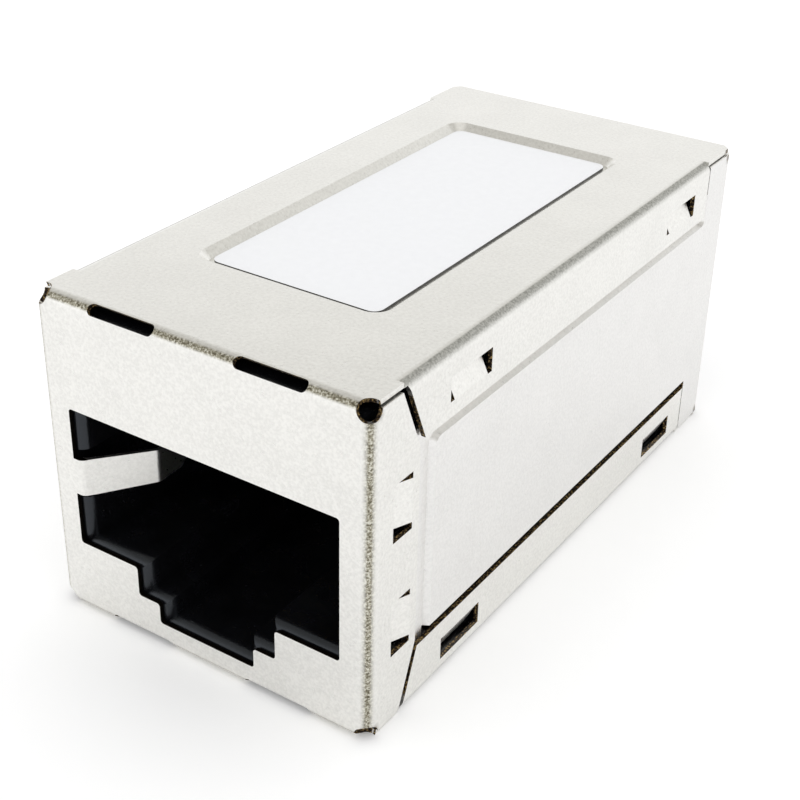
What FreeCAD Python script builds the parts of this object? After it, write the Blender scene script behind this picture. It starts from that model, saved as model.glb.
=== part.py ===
import FreeCAD, Part
import math
import os
import re

import Sketcher

# A shielded in-line coupler for two eight-way modular plugs: two folded sheet shells round two
# moulded jack housings, which stand back to back on one upright circuit board.
# Frame: X across the port, Y along the plug axis (front port towards -Y), Z up.
# Origin at the centre of the underside. Sizes in millimetres.

SIZES = [
    # whole body
    ("body_width", 16.0, "outside width of the shell"),
    ("body_height", 15.0, "outside height of the shell"),
    ("body_length", 31.0, "outside length from port face to port face"),
    ("gauge", 0.2, "thickness of the folded sheet"),
    ("bend", 0.5, "outside radius of a fold"),
    ("fit", 0.05, "play between pieces that lie on each other"),
    # port in the sheet
    ("port_width", 13.3, "width of the port opening in the sheet"),
    ("port_top", 10.0, "height of its upper edge"),
    ("port_ledge", 3.5, "height of its side ledges"),
    ("latch_wide", 7.1, "width of the first latch step"),
    ("latch_wide_floor", 2.1, "height of the floor of the first latch step"),
    ("latch_narrow", 4.9, "width of the second latch step"),
    ("latch_narrow_floor", 1.15, "height of the floor of the second latch step"),
    ("port_round", 0.15, "corner radius of the port opening"),
    # ground finger, cut from the port opening and bent inwards
    ("finger_middle", 6.8, "height of the middle of a finger"),
    ("finger_root", 1.7, "width of a finger at its root"),
    ("finger_tip", 1.3, "width of a finger at its tip"),
    ("finger_in", 2.2, "how far a finger leans in from the edge of the port"),
    ("finger_run", 2.5, "depth of its leaning leg"),
    ("finger_pad", 1.3, "depth of its contact leg"),
    ("finger_flare", 0.8, "depth of its flared end"),
    ("finger_bend", 0.35, "inside radius of a finger's bends"),
    # holes in the folds
    ("slot_length", 3.3, "length of a slot in the front folds"),
    ("slot_spread", 7.1, "distance between the middles of two slots"),
    ("slot_reach", 0.36, "how far a slot runs past the fold's corner on each face"),
    ("relief", 0.48, "radius of the hole where three folds meet"),
    # side flanges of the front shell
    ("flap_reach", 3.15, "depth of the side flap of the front face"),
    ("flap_heel", 3.06, "height of the flap's lower rear corner"),
    ("shoulder_drop", 3.07, "depth of the flap's upper rear corner under the top"),
    ("slit_lean", 1.24, "how far the upper slit leans back over its height"),
    ("slit", 0.42, "width of the upper slit along the body"),
    ("low_lean", 1.1, "how far the lower slit leans back over its height"),
    ("low_slit", 0.3, "width of the lower slit along the body"),
    ("seam", 0.08, "gap between a plate's raw edge and the sheet under it"),
    ("raw_inset", 0.12, "how far a plate's raw side edge stays inside the sides"),
    ("top_drop", 2.85, "height of the top side flanges"),
    ("base_rise", 2.68, "height of the bottom side flanges"),
    ("flange_gap", 0.06, "gap between a side flange's end and the rear strip"),
    ("rear_cut", 0.45, "size of the cut at each rear corner of the top and bottom"),
    # lanced tabs
    ("tab_press", 0.5, "how far a tab's free edge is pressed in"),
    ("kerf", 0.28, "gap at the two ends of a tab"),
    ("flap_tab_long", 2.5, "length of the window of a flap tab"),
    ("flap_tab_hinge", 2.7, "distance of its hinge from the front face"),
    ("flap_tab_wide", 1.25, "width of the window of a flap tab"),
    ("flap_tab_low", 4.6, "height of the middle of the lower flap tab"),
    ("flap_tab_drop", 5.14, "depth of the middle of the upper flap tab under the top"),
    ("rail_tab_long", 2.95, "length of the window of a flange tab"),
    ("rail_tab_wide", 1.04, "width of the window of a flange tab"),
    ("top_tab_hinge", 2.17, "depth of a top flange tab's hinge under the top"),
    ("base_tab_hinge", 1.78, "height of a bottom flange tab's hinge"),
    ("rail_tab_front", 6.6, "distance of the front flange tabs from the front face"),
    ("rail_tab_rear", 5.65, "distance of the rear flange tabs from the rear face"),
    # label and its recess
    ("recess_width", 9.3, "width of the label recess at the top face"),
    ("recess_long", 20.3, "length of the label recess at the top face"),
    ("recess_aside", -0.3, "offset of the recess across the body"),
    ("recess_back", 0.5, "offset of the recess along the body"),
    ("recess_deep", 0.35, "depth of the label recess"),
    ("recess_round", 0.8, "corner radius of the recess"),
    ("label_play", 0.16, "play round the label on the recess floor"),
    ("label_thick", 0.1, "thickness of the label"),
    # side panels of the rear shell
    ("panel_front", 2.85, "distance of a side panel's front edge from the front face"),
    ("panel_drop", 2.5, "depth of a side panel's upper edge under the top"),
    ("panel_base", 3.08, "height of a side panel's lower edge"),
    ("margin_foot", 0.7, "how far its pressed-in front margin reaches below that edge"),
    ("raise_front", 4.2, "distance of the raised field from the front face"),
    ("raise_drop", 3.25, "depth of the raised field's upper edge under the top"),
    ("strip", 2.6, "depth of the full-height strip at the rear"),
    ("raise_round", 0.4, "corner radius of the raised field"),
    # moulded jack housing
    ("mouth_side", 0.4, "how far the moulded port stands inside the sheet at each side"),
    ("mouth_floor", 0.2, "how far its floors stand above the sheet's edges"),
    ("lead_in", 0.5, "rounding round the moulded port"),
    ("jack_depth", 12.55, "depth of the moulded housing"),
    ("finger_room", 2.3, "height of the side recess behind a finger"),
    ("finger_back", 0.4, "depth of that recess in the side wall"),
    ("finger_space", 6.0, "length of that recess"),
    ("nest_deep", 0.3, "depth of the nests for the lanced tabs in the housing's sides"),
    ("nest_play", 0.2, "play round a lanced tab in its nest"),
    ("bay_width", 9.0, "width of the contact bay above the port"),
    ("bay_roof", 1.9, "depth of the contact bay's ceiling under the top"),
    ("bay_front", 3.0, "distance of the contact bay from the front face"),
    # contact block
    ("arm_drop", 3.1, "depth of the underside of the contact block's arm under the top"),
    ("comb_reach", 2.6, "how far the comb stands out from the block"),
    ("comb_drop", 2.3, "depth of the comb's upper edge under the arm"),
    ("comb_high", 3.2, "height of the comb's ribs"),
    ("comb_slot", 0.6, "width of a slot between two comb ribs"),
    ("block_aside", 0.4, "how far the block's wall stays inside the housing's sides"),
    # contacts
    ("pitch", 1.016, "spacing of the contacts"),
    ("wire_wide", 0.46, "width of a contact"),
    ("wire_thick", 0.3, "thickness of a contact"),
    ("wire_front", 4.0, "distance of a contact's front bend from the front face"),
    ("wire_drop", 1.25, "height of a contact's front bend"),
    ("wire_angle", 16.0, "slope of the sprung leg in degrees"),
    ("wire_leg", 7.6, "length of the sprung leg"),
    ("wire_bend", 0.2, "inside radius of a contact's bends"),
    ("riser", 1.0, "distance of a contact's riser in front of the board"),
    ("tail_odd", 2.0, "depth of the odd contacts' tails under the arm"),
    ("tail_even", 4.3, "depth of the even contacts' tails under the arm"),
    ("tail_proud", 0.5, "how far a tail stands out behind the board"),
    # circuit board
    ("board_thick", 1.6, "thickness of the board"),
    ("board_play", 0.15, "play round the edge of the board"),
    ("board_hole", 0.8, "diameter of a plated hole"),
]
CONTACTS = 8

doc = FreeCAD.newDocument("coupler")
sheet = doc.addObject("Spreadsheet::Sheet", "sizes")
VALUE = {}
for row, (alias, value, meaning) in enumerate(SIZES, start=1):
    sheet.set(f"A{row}", meaning)
    sheet.set(f"B{row}", str(value))
    sheet.setAlias(f"B{row}", alias)
    VALUE[alias] = value
doc.recompute()


# Heights that follow from the sizes, each as its own expression.
DERIVED = {
    "flap_shoulder": "(body_height - shoulder_drop)",
    "flap_tab_high": "(body_height - flap_tab_drop)",
    "panel_top": "(body_height - panel_drop)",
    "raise_top": "(body_height - raise_drop)",
    "bay_top": "(body_height - bay_roof)",
    "arm_under": "(body_height - arm_drop)",
    "comb_top": "(body_height - arm_drop - comb_drop)",
    "comb_low": "(body_height - arm_drop - comb_drop - comb_high)",
    "tail_high": "(body_height - arm_drop - tail_odd)",
    "tail_low": "(body_height - arm_drop - tail_even)",
}


def spelled(expression, sheet_name=""):
    """The expression with each derived height written out and each size name in full."""
    for name, meaning in DERIVED.items():
        expression = re.sub(rf"\b{name}\b", meaning, expression)
    words = re.split(r"([A-Za-z_]\w*)", expression)
    return "".join(f"{sheet_name}{w}" if w in VALUE else w for w in words)


def number(expression):
    """The value that an expression of size names gives."""
    return float(sheet.evalExpression(spelled(expression)))


def bind(thing, prop, expression):
    """Tie a property to an expression in which each size name points at the sheet."""
    thing.setExpression(prop, spelled(expression, "sizes."))


def depth(from_face, end=-1):
    """Y of a plane that lies from_face inside the front (end -1) or the rear (end 1) face."""
    return f"{end} * (body_length / 2 - ({from_face}))"


def new_body(label):
    body = doc.addObject("PartDesign::Body", label)
    body.Label = label
    return body


def flat(body, role, lift="0"):
    """An empty sketch on one of the body's own planes, moved along the plane's normal."""
    plane = next(f for f in body.Origin.OriginFeatures if f.Role == role)
    sketch = body.newObject("Sketcher::SketchObject", "outline")
    sketch.AttachmentSupport = (plane, "")
    sketch.MapMode = "FlatFace"
    bind(sketch, "AttachmentOffset.Base.z", lift)
    return sketch


def upright(body, y):
    """A sketch that faces the front, in the plane at y. Its own axes are X and Z."""
    return flat(body, "XZ_Plane", f"-({y})")


def side_on(body, x="0"):
    """A sketch in a plane across X. Its own axes are Y and Z."""
    return flat(body, "YZ_Plane", x)


def level(body, z):
    """A sketch in the level plane at z. Its own axes are X and Y."""
    return flat(body, "XY_Plane", z)


def hold(sketch, kind, line, point, expression):
    index = sketch.addConstraint(Sketcher.Constraint(kind, line, point, number(expression)))
    bind(sketch, f"Constraints[{index}]", expression)


def outline(sketch, corners, rounding=None):
    """A closed outline of straight lines, each corner held at its own two expressions.

    With a rounding, each right-angled corner becomes a quarter arc of that radius.
    """
    points = [FreeCAD.Vector(number(x), number(y), 0) for x, y in corners]
    count = len(points)
    first = sketch.GeometryCount
    if rounding is None:
        for i in range(count):
            sketch.addGeometry(Part.LineSegment(points[i], points[(i + 1) % count]))
        for i in range(count):
            follower = first + (i + 1) % count
            sketch.addConstraint(
                Sketcher.Constraint("Coincident", first + i, 2, follower, 1)
            )
            hold(sketch, "DistanceX", first + i, 1, corners[i][0])
            hold(sketch, "DistanceY", first + i, 1, corners[i][1])
        return
    radius = number(rounding)
    starts, ends = [], []
    for i, (x, y) in enumerate(corners):
        before = (points[i - 1] - points[i]).normalize()
        after = (points[(i + 1) % count] - points[i]).normalize()
        ends.append([f"{x} + {before.x} * {rounding}", f"{y} + {before.y} * {rounding}"])
        starts.append([f"{x} + {after.x} * {rounding}", f"{y} + {after.y} * {rounding}"])
    for i in range(count):
        come, leave = starts[i], ends[(i + 1) % count]
        ends_of = [FreeCAD.Vector(number(x), number(y), 0) for x, y in (come, leave)]
        line = sketch.addGeometry(Part.LineSegment(*ends_of))
        for place, (x, y) in enumerate((come, leave), start=1):
            hold(sketch, "DistanceX", line, place, x)
            hold(sketch, "DistanceY", line, place, y)
    for i in range(count):
        before = (points[i - 1] - points[i]).normalize()
        after = (points[(i + 1) % count] - points[i]).normalize()
        centre = points[i] + (before + after) * radius
        left_turn = before.cross(after).z < 0
        one, two = (-after, -before) if left_turn else (-before, -after)
        angles = [math.atan2(v.y, v.x) for v in (one, two)]
        ring = Part.Circle(centre, FreeCAD.Vector(0, 0, 1), radius)
        arc = sketch.addGeometry(Part.ArcOfCircle(ring, *angles))
        into, out = first + (i - 1) % count, first + i
        meets = ((into, 2), (out, 1)) if left_turn else ((out, 1), (into, 2))
        for place, (line, end) in enumerate(meets, start=1):
            sketch.addConstraint(
                Sketcher.Constraint("Coincident", arc, place, line, end)
            )
        index = sketch.addConstraint(Sketcher.Constraint("Radius", arc, radius))
        bind(sketch, f"Constraints[{index}]", rounding)


def mirrored(corners):
    """The same outline on the other side of the sketch's upright axis."""
    return [(f"-({x})", y) for x, y in reversed(corners)]


def both_sides(sketch, corners, rounding=None):
    outline(sketch, corners, rounding)
    outline(sketch, mirrored(corners), rounding)


def box_corners(x0, x1, y0, y1):
    return [(x0, y0), (x1, y0), (x1, y1), (x0, y1)]


def disc(sketch, x, y, radius):
    centre = FreeCAD.Vector(number(x), number(y), 0)
    circle = sketch.addGeometry(
        Part.Circle(centre, FreeCAD.Vector(0, 0, 1), number(radius))
    )
    hold(sketch, "DistanceX", circle, 3, x)
    hold(sketch, "DistanceY", circle, 3, y)
    index = sketch.addConstraint(Sketcher.Constraint("Radius", circle, number(radius)))
    bind(sketch, f"Constraints[{index}]", radius)


def extrude(body, kind, sketch, length, both_ways=False, backwards=False, taper=None):
    """Pad or Pocket a sketch, and make it the body's latest feature."""
    feature = body.newObject(f"PartDesign::{kind}", kind.lower())
    feature.Profile = sketch
    if both_ways:
        feature.SideType = "Symmetric"
    feature.Reversed = backwards
    bind(feature, "Length", length)
    if taper:
        feature.TaperAngle = taper
    sketch.Visibility = False
    doc.recompute()
    return feature


def pad(body, sketch, length, **how):
    return extrude(body, "Pad", sketch, length, **how)


def pocket(body, sketch, length, **how):
    before = body.Shape.Volume
    feature = extrude(body, "Pocket", sketch, length, **how)
    if not body.Shape.Volume < before - 1e-6:
        raise ValueError(f"a pocket in {body.Label} cuts nothing")
    return feature


def fillet(body, radius, wanted):
    """Round the edges of the latest feature that the test picks."""
    doc.recompute()
    base = body.Tip
    edges = [f"Edge{n}" for n, e in enumerate(base.Shape.Edges, start=1) if wanted(e)]
    if not edges:
        raise ValueError(f"no edge to round in {body.Label}")
    feature = body.newObject("PartDesign::Fillet", "fillet")
    feature.Base = (base, edges)
    bind(feature, "Radius", radius)
    doc.recompute()


def spread(body, feature, step, count):
    """Repeat a feature at an even step along X, starting from its own place."""
    pattern = body.newObject("PartDesign::LinearPattern", "row")
    axis = next(f for f in body.Origin.OriginFeatures if f.Role == "X_Axis")
    pattern.Originals = [feature]
    pattern.Direction = (axis, [""])
    pattern.Occurrences = count
    bind(pattern, "Length", f"{count - 1} * {step}")
    body.Tip = pattern
    doc.recompute()


def turn_to_rear(body):
    """Turn a sub-part half round its own upright axis, to face the rear."""
    body.Placement = FreeCAD.Placement(
        body.Placement.Base, FreeCAD.Rotation(FreeCAD.Vector(0, 0, 1), 180)
    )


def runs(edge, axis):
    """True for a straight edge along X, Y or Z."""
    if edge.Degenerated or not isinstance(edge.Curve, (Part.Line, Part.LineSegment)):
        return False
    direction = (edge.Vertexes[-1].Point - edge.Vertexes[0].Point).normalize()
    return abs(abs(getattr(direction, axis)) - 1) < 1e-6


def close(one, other):
    return abs(one - other) < 1e-4


def at_points(edge, plane, points):
    """True where an edge across a plane, such as "xz", stands at one of the points."""
    middle = edge.CenterOfMass
    place = [getattr(middle, axis) for axis in plane]
    return any(close(place[0], a) and close(place[1], b) for a, b in points)


def ribbon(centre, thickness):
    """A strip of even thickness along a line of points, all as expressions.

    Gives its closed outline, and for each knee the two outline corners that it has.
    """
    half = f"({thickness}) / 2"
    normals = []
    for (x0, y0), (x1, y1) in zip(centre, centre[1:]):
        across, along = f"(({x1}) - ({x0}))", f"(({y1}) - ({y0}))"
        length = f"sqrt({across}^2 + {along}^2)"
        normals.append((f"(-{along} / {length})", f"({across} / {length})"))
    left, right, knees = [], [], []
    for i, (x, y) in enumerate(centre):
        one = normals[max(i - 1, 0)]
        two = normals[min(i, len(normals) - 1)]
        opened = f"(1 + {one[0]} * {two[0]} + {one[1]} * {two[1]})"
        aside = [f"{half} * ({one[k]} + {two[k]}) / {opened}" for k in (0, 1)]
        left.append((f"{x} + {aside[0]}", f"{y} + {aside[1]}"))
        right.append((f"{x} - {aside[0]}", f"{y} - {aside[1]}"))
        if 0 < i < len(normals):
            turn = number(f"{one[0]} * {two[1]} - {one[1]} * {two[0]}")
            inner, outer = (left[-1], right[-1]) if turn > 0 else (right[-1], left[-1])
            knees.append((inner, outer))
    return left + right[::-1], knees


def round_knees(body, plane, knees, inside, thickness):
    """Bend the knees of a ribbon: the inside radius, and outside it the thickness more."""
    axis = next(a for a in "xyz" if a not in plane)
    for side, radius in ((0, inside), (1, f"{inside} + {thickness}")):
        points = [[number(c) for c in knee[side]] for knee in knees]
        fillet(body, radius, lambda e: runs(e, axis) and at_points(e, plane, points))


# ---------------------------------------------------------------- shared outlines

SIDE = "body_width / 2"


def port_corners(inset_side="0", inset_floor="0"):
    """The stepped port, latch channel down, optionally smaller than the sheet's opening."""
    wide = f"port_width / 2 - {inset_side}"
    step = f"latch_wide / 2 - {inset_side}"
    groove = f"latch_narrow / 2 - {inset_side}"
    right = [
        (wide, "port_top"),
        (wide, f"port_ledge + {inset_floor}"),
        (step, f"port_ledge + {inset_floor}"),
        (step, f"latch_wide_floor + {inset_floor}"),
        (groove, f"latch_wide_floor + {inset_floor}"),
        (groove, f"latch_narrow_floor + {inset_floor}"),
    ]
    return right + mirrored(right)


def cut_port(body, end):
    """The port opening in the sheet at one end, with its rounded corners."""
    face = upright(body, depth("0", end))
    outline(face, port_corners(), "port_round")
    pocket(body, face, "2 * gauge", backwards=end > 0)


def ground_finger(body, end):
    """A sprung finger, bent in from the port's edge: the left one, as a plug comes in."""
    root = "port_width / 2"
    stub = "2 * finger_bend"
    pad_x = f"{root} - finger_in"
    pad_y = "gauge / 2 + finger_run"
    centre = [
        (root, "gauge / 2"),
        (f"{root} - {stub} / 2", "gauge / 2"),
        (pad_x, pad_y),
        (pad_x, f"{pad_y} + finger_pad"),
        (f"{pad_x} + finger_flare / 2", f"{pad_y} + finger_pad + finger_flare"),
    ]
    centre = [(x, depth(y, end)) for x, y in centre]
    corners, knees = ribbon(centre, "gauge")
    if end < 0:
        corners = mirrored(corners)
        knees = [tuple(mirrored(knee)) for knee in knees]
    plan = level(body, "finger_middle")
    outline(plan, corners)
    pad(body, plan, "finger_root", both_ways=True)
    round_knees(body, "xy", knees, "finger_bend", "gauge")
    taper = side_on(body)
    reach = f"{pad_y} + finger_pad + 2 * finger_flare"
    for sign in ("+", "-"):
        slope = [
            (depth("2 * gauge", end), f"finger_middle {sign} finger_root / 2"),
            (depth(reach, end), f"finger_middle {sign} finger_tip / 2"),
            (depth(reach, end), f"finger_middle {sign} finger_root"),
            (depth("2 * gauge", end), f"finger_middle {sign} finger_root"),
        ]
        outline(taper, slope)
    pocket(body, taper, "port_width", both_ways=True)


# ---------------------------------------------------------------- front shell


def raw_edges(body, y0, y1, top):
    """Where a plate is not folded to the side: its raw edge lies over the sheet under it."""
    plate = "body_height" if top else "0"
    sign = "-" if top else "+"
    start = upright(body, y0)
    both_sides(
        start,
        box_corners(
            f"{SIDE} - bend",
            f"{SIDE} + bend",
            f"{plate} {sign} (bend + gauge)",
            f"{plate} {sign} (-bend)",
        ),
    )
    pocket(body, start, f"({y1}) - ({y0})")
    tongue = upright(body, y0)
    both_sides(
        tongue,
        box_corners(f"{SIDE} - bend", f"{SIDE} - raw_inset", plate, f"{plate} {sign} gauge"),
    )
    pad(body, tongue, f"({y1}) - ({y0})", backwards=True)


def flap_strip(body, y1, top):
    """The flap's own raw edge, which stops a seam short of the plate over or under it."""
    plate = "body_height" if top else "0"
    sign = "-" if top else "+"
    strip = upright(body, depth("bend"))
    both_sides(
        strip,
        box_corners(
            f"{SIDE} - gauge",
            SIDE,
            f"{plate} {sign} (bend + gauge)",
            f"{plate} {sign} (gauge + seam)",
        ),
    )
    pad(body, strip, f"({y1}) - ({depth('bend')})", backwards=True)


def side_windows(body):
    """Cut both side walls down to the flap and the top and bottom flanges, slits and all."""
    reach = depth("flap_reach")
    upper = "body_height - gauge"
    flange = "body_height - top_drop"
    stop = depth("strip + flange_gap", 1)
    past = depth("-1", 1)
    upper_lean = f"slit_lean * ({flange} - flap_shoulder) / ({upper} - flap_shoulder)"
    lower_lean = "low_lean * (flap_heel - base_rise) / (flap_heel - gauge)"
    window = side_on(body)
    outline(
        window,
        [
            (reach, "flap_heel"),
            (reach, "flap_shoulder"),
            (f"{reach} - slit_lean", upper),
            (f"{reach} - slit_lean + slit", upper),
            (f"{reach} - {upper_lean} + slit", flange),
            (stop, flange),
            (stop, upper),
            (past, upper),
            (past, "gauge"),
            (stop, "gauge"),
            (stop, "base_rise"),
            (f"{reach} - {lower_lean} + low_slit", "base_rise"),
            (f"{reach} - low_lean + low_slit", "gauge"),
            (f"{reach} - low_lean", "gauge"),
        ],
    )
    pocket(body, window, "2 * body_width", both_ways=True)


def fold_slots(body, top):
    """Two round-ended slots punched across the fold at the front face."""
    half = "slot_reach * cos(45)"
    sketch = level(body, "body_height" if top else "0")
    sketch.AttachmentOffset = FreeCAD.Placement(
        FreeCAD.Vector(0, 0, number("body_height" if top else "0")),
        FreeCAD.Rotation(FreeCAD.Vector(1, 0, 0), 45 if top else -45),
    )
    bind(sketch, "AttachmentOffset.Base.y", depth("0"))
    middle, long = "slot_spread / 2", "slot_length / 2"
    hole = box_corners(
        f"{middle} - {long}", f"{middle} + {long}", f"-{half}", f"{half}"
    )
    both_sides(sketch, hole, f"0.95 * {half}")
    pocket(body, sketch, "4 * bend", both_ways=True)


def corner_reliefs(body):
    """The round openings where three folds would meet at the front corners."""
    plane = next(f for f in body.Origin.OriginFeatures if f.Role == "XY_Plane")
    for x in (f"{SIDE} - bend / 2", f"bend / 2 - {SIDE}"):
        for z in ("bend / 2", "body_height - bend / 2"):
            ball = body.newObject("PartDesign::SubtractiveSphere", "relief")
            ball.AttachmentSupport = (plane, "")
            ball.MapMode = "FlatFace"
            bind(ball, "AttachmentOffset.Base.x", x)
            bind(ball, "AttachmentOffset.Base.y", depth("bend / 2"))
            bind(ball, "AttachmentOffset.Base.z", z)
            bind(ball, "Radius", "relief")
            doc.recompute()


def lanced_tabs(body):
    """Tabs cut free on three sides and pressed in, hinged on the side away from the fold."""
    flap_free = "flap_tab_hinge - flap_tab_wide"
    top_hinge = "body_height - top_tab_hinge"
    rails = (depth("rail_tab_front"), depth("rail_tab_rear", 1))
    window = side_on(body)
    for middle in ("flap_tab_low", "flap_tab_high"):
        outline(
            window,
            box_corners(
                depth(flap_free),
                depth("flap_tab_hinge"),
                f"{middle} - flap_tab_long / 2",
                f"{middle} + flap_tab_long / 2",
            ),
        )
    for middle in rails:
        ends = (f"{middle} - rail_tab_long / 2", f"{middle} + rail_tab_long / 2")
        outline(window, box_corners(*ends, top_hinge, f"{top_hinge} + rail_tab_wide"))
        outline(
            window,
            box_corners(*ends, "base_tab_hinge - rail_tab_wide", "base_tab_hinge"),
        )
    pocket(body, window, "2 * body_width", both_ways=True)
    for middle in ("flap_tab_low", "flap_tab_high"):
        plan = level(body, middle)
        tab = [
            (SIDE, depth("flap_tab_hinge")),
            (f"{SIDE} - gauge", depth("flap_tab_hinge")),
            (f"{SIDE} - gauge - tab_press", depth(flap_free)),
            (f"{SIDE} - tab_press", depth(flap_free)),
        ]
        both_sides(plan, tab)
        pad(body, plan, "flap_tab_long - 2 * kerf", both_ways=True)
    for middle in rails:
        section = upright(body, middle)
        for hinge, free in (
            (top_hinge, f"{top_hinge} + rail_tab_wide"),
            ("base_tab_hinge", "base_tab_hinge - rail_tab_wide"),
        ):
            tab = [
                (SIDE, hinge),
                (f"{SIDE} - gauge", hinge),
                (f"{SIDE} - gauge - tab_press", free),
                (f"{SIDE} - tab_press", free),
            ]
            both_sides(section, tab)
        pad(body, section, "rail_tab_long - 2 * kerf", both_ways=True)


def recess_corners(grow):
    """The label recess in plan, grown by an amount at each side."""
    return box_corners(
        f"recess_aside - recess_width / 2 - ({grow})",
        f"recess_aside + recess_width / 2 + ({grow})",
        f"recess_back - recess_long / 2 - ({grow})",
        f"recess_back + recess_long / 2 + ({grow})",
    )


def label_recess(body):
    """Press the top down for the label: the sheet keeps its gauge down the sloped sides."""
    wall = "gauge * (1 / cos(45) - 1)"
    under = level(body, "body_height - gauge")
    outline(under, recess_corners(wall), f"(recess_round + {wall})")
    pad(body, under, "recess_deep", backwards=True, taper=-45)
    upper = level(body, "body_height")
    outline(upper, recess_corners("0"), "recess_round")
    pocket(body, upper, "recess_deep", taper=-45)


def rear_corners(body):
    """The cut corners of the top and bottom plates at the rear."""
    plan = level(body, "0")
    both_sides(
        plan,
        [
            (f"{SIDE} + rear_cut", depth("-rear_cut", 1)),
            (f"{SIDE} - rear_cut", depth("-rear_cut", 1)),
            (f"{SIDE} - rear_cut", depth("0", 1)),
            (SIDE, depth("rear_cut", 1)),
            (f"{SIDE} + rear_cut", depth("rear_cut", 1)),
        ],
    )
    pocket(body, plan, "3 * body_height", both_ways=True)


def front_shell():
    """Front face, top and bottom folded from one sheet, with flanges down the sides."""
    body = new_body("front_shell")
    plan = level(body, "0")
    outline(plan, box_corners(f"-{SIDE}", SIDE, depth("0"), depth("0", 1)))
    pad(body, plan, "body_height")
    front, rear = number(depth("0")), number(depth("0", 1))
    side = number(SIDE)

    def is_fold(edge):
        middle = edge.CenterOfMass
        return close(middle.y, front) or (runs(edge, "y") and close(abs(middle.x), side))

    fillet(body, "bend", is_fold)
    base = body.Tip
    faces = base.Shape.Faces
    open_end = [
        f"Face{n}" for n, f in enumerate(faces, start=1) if close(f.CenterOfMass.y, rear)
    ]
    hollow = body.newObject("PartDesign::Thickness", "hollow")
    hollow.Base = (base, open_end)
    bind(hollow, "Value", "gauge")
    hollow.Reversed = True
    doc.recompute()
    reach = depth("flap_reach")
    top_start = f"{reach} - slit_lean + slit / 2"
    low_start = f"{reach} - low_lean + low_slit / 2"
    stop = depth("strip + flange_gap", 1)
    for top, start in ((True, top_start), (False, low_start)):
        raw_edges(body, depth("bend"), start, top)
        raw_edges(body, stop, depth("0", 1), top)
        flap_strip(body, start, top)
    side_windows(body)
    corner_reliefs(body)
    fold_slots(body, True)
    fold_slots(body, False)
    cut_port(body, -1)
    lanced_tabs(body)
    label_recess(body)
    ground_finger(body, -1)
    rear_corners(body)
    return body


# ---------------------------------------------------------------- rear shell


def pressed_margin(body, sign):
    """Press a side panel's front and upper margins in, under the front shell's flanges."""
    step = "gauge + fit"
    back = "gauge * (1 - sin(30)) / cos(30)"

    def margin(grow):
        y, z = f"{depth('raise_front')} + {grow}", f"raise_top - ({grow})"
        ahead, below = depth("panel_front - 1"), "panel_base - margin_foot - 1"
        return [
            (ahead, below),
            (y, below),
            (y, z),
            (f"{depth('strip', 1)} + 2 * fit", z),
            (f"{depth('strip', 1)} + 2 * fit", "panel_top + 1"),
            (ahead, "panel_top + 1"),
        ]

    inner = side_on(body, f"{sign} * ({SIDE} - gauge)")
    outline(inner, margin(back), "raise_round")
    pad(body, inner, step, backwards=sign > 0, taper=-30)
    outer = side_on(body, f"{sign} * {SIDE}")
    outline(outer, margin("0"), "raise_round")
    pocket(body, outer, step, backwards=sign < 0, taper=-30)


def rear_shell():
    """A sheet bent to a channel: the rear face and the two side panels."""
    body = new_body("rear_shell")
    front, rear = depth("panel_front"), depth("0", 1)
    plan = level(body, "gauge + fit")
    outline(
        plan,
        [
            (f"-{SIDE}", front),
            (f"gauge - {SIDE}", front),
            (f"gauge - {SIDE}", f"{rear} - gauge"),
            (f"{SIDE} - gauge", f"{rear} - gauge"),
            (f"{SIDE} - gauge", front),
            (SIDE, front),
            (SIDE, rear),
            (f"-{SIDE}", rear),
        ],
    )
    pad(body, plan, "body_height - 2 * (gauge + fit)")
    side, end, gauge = number(SIDE), number(rear), number("gauge")
    outer = [(side, end), (-side, end)]
    inner = [(side - gauge, end - gauge), (gauge - side, end - gauge)]
    fillet(body, "bend", lambda e: runs(e, "z") and at_points(e, "xy", outer))
    fillet(body, "bend - gauge", lambda e: runs(e, "z") and at_points(e, "xy", inner))
    pressed_margin(body, 1)
    pressed_margin(body, -1)
    ahead, strip = f"{front} - 2", depth("strip", 1)
    heel, foot = f"{depth('raise_front')} - gauge", "panel_base - margin_foot"
    sides = side_on(body)
    outline(
        sides,
        [
            (ahead, "0"),
            (strip, "0"),
            (strip, "panel_base"),
            (heel, "panel_base"),
            (heel, foot),
            (front, foot),
            (front, "panel_top"),
            (strip, "panel_top"),
            (strip, "body_height"),
            (ahead, "body_height"),
        ],
    )
    pocket(body, sides, "2 * body_width", both_ways=True)
    cut_port(body, 1)
    ground_finger(body, 1)
    return body


# ---------------------------------------------------------------- label


def label():
    """A thin label with rounded corners, on the floor of the recess."""
    body = new_body("label")
    inset = "-(recess_deep * tan(45) + label_play)"
    plan = level(body, "body_height - recess_deep")
    outline(plan, recess_corners(inset), "(recess_round - recess_deep)")
    pad(body, plan, "label_thick")
    return body


# ---------------------------------------------------------------- moulded housings

INSIDE = "(body_width / 2 - 2 * gauge - 2 * fit)"


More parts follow.
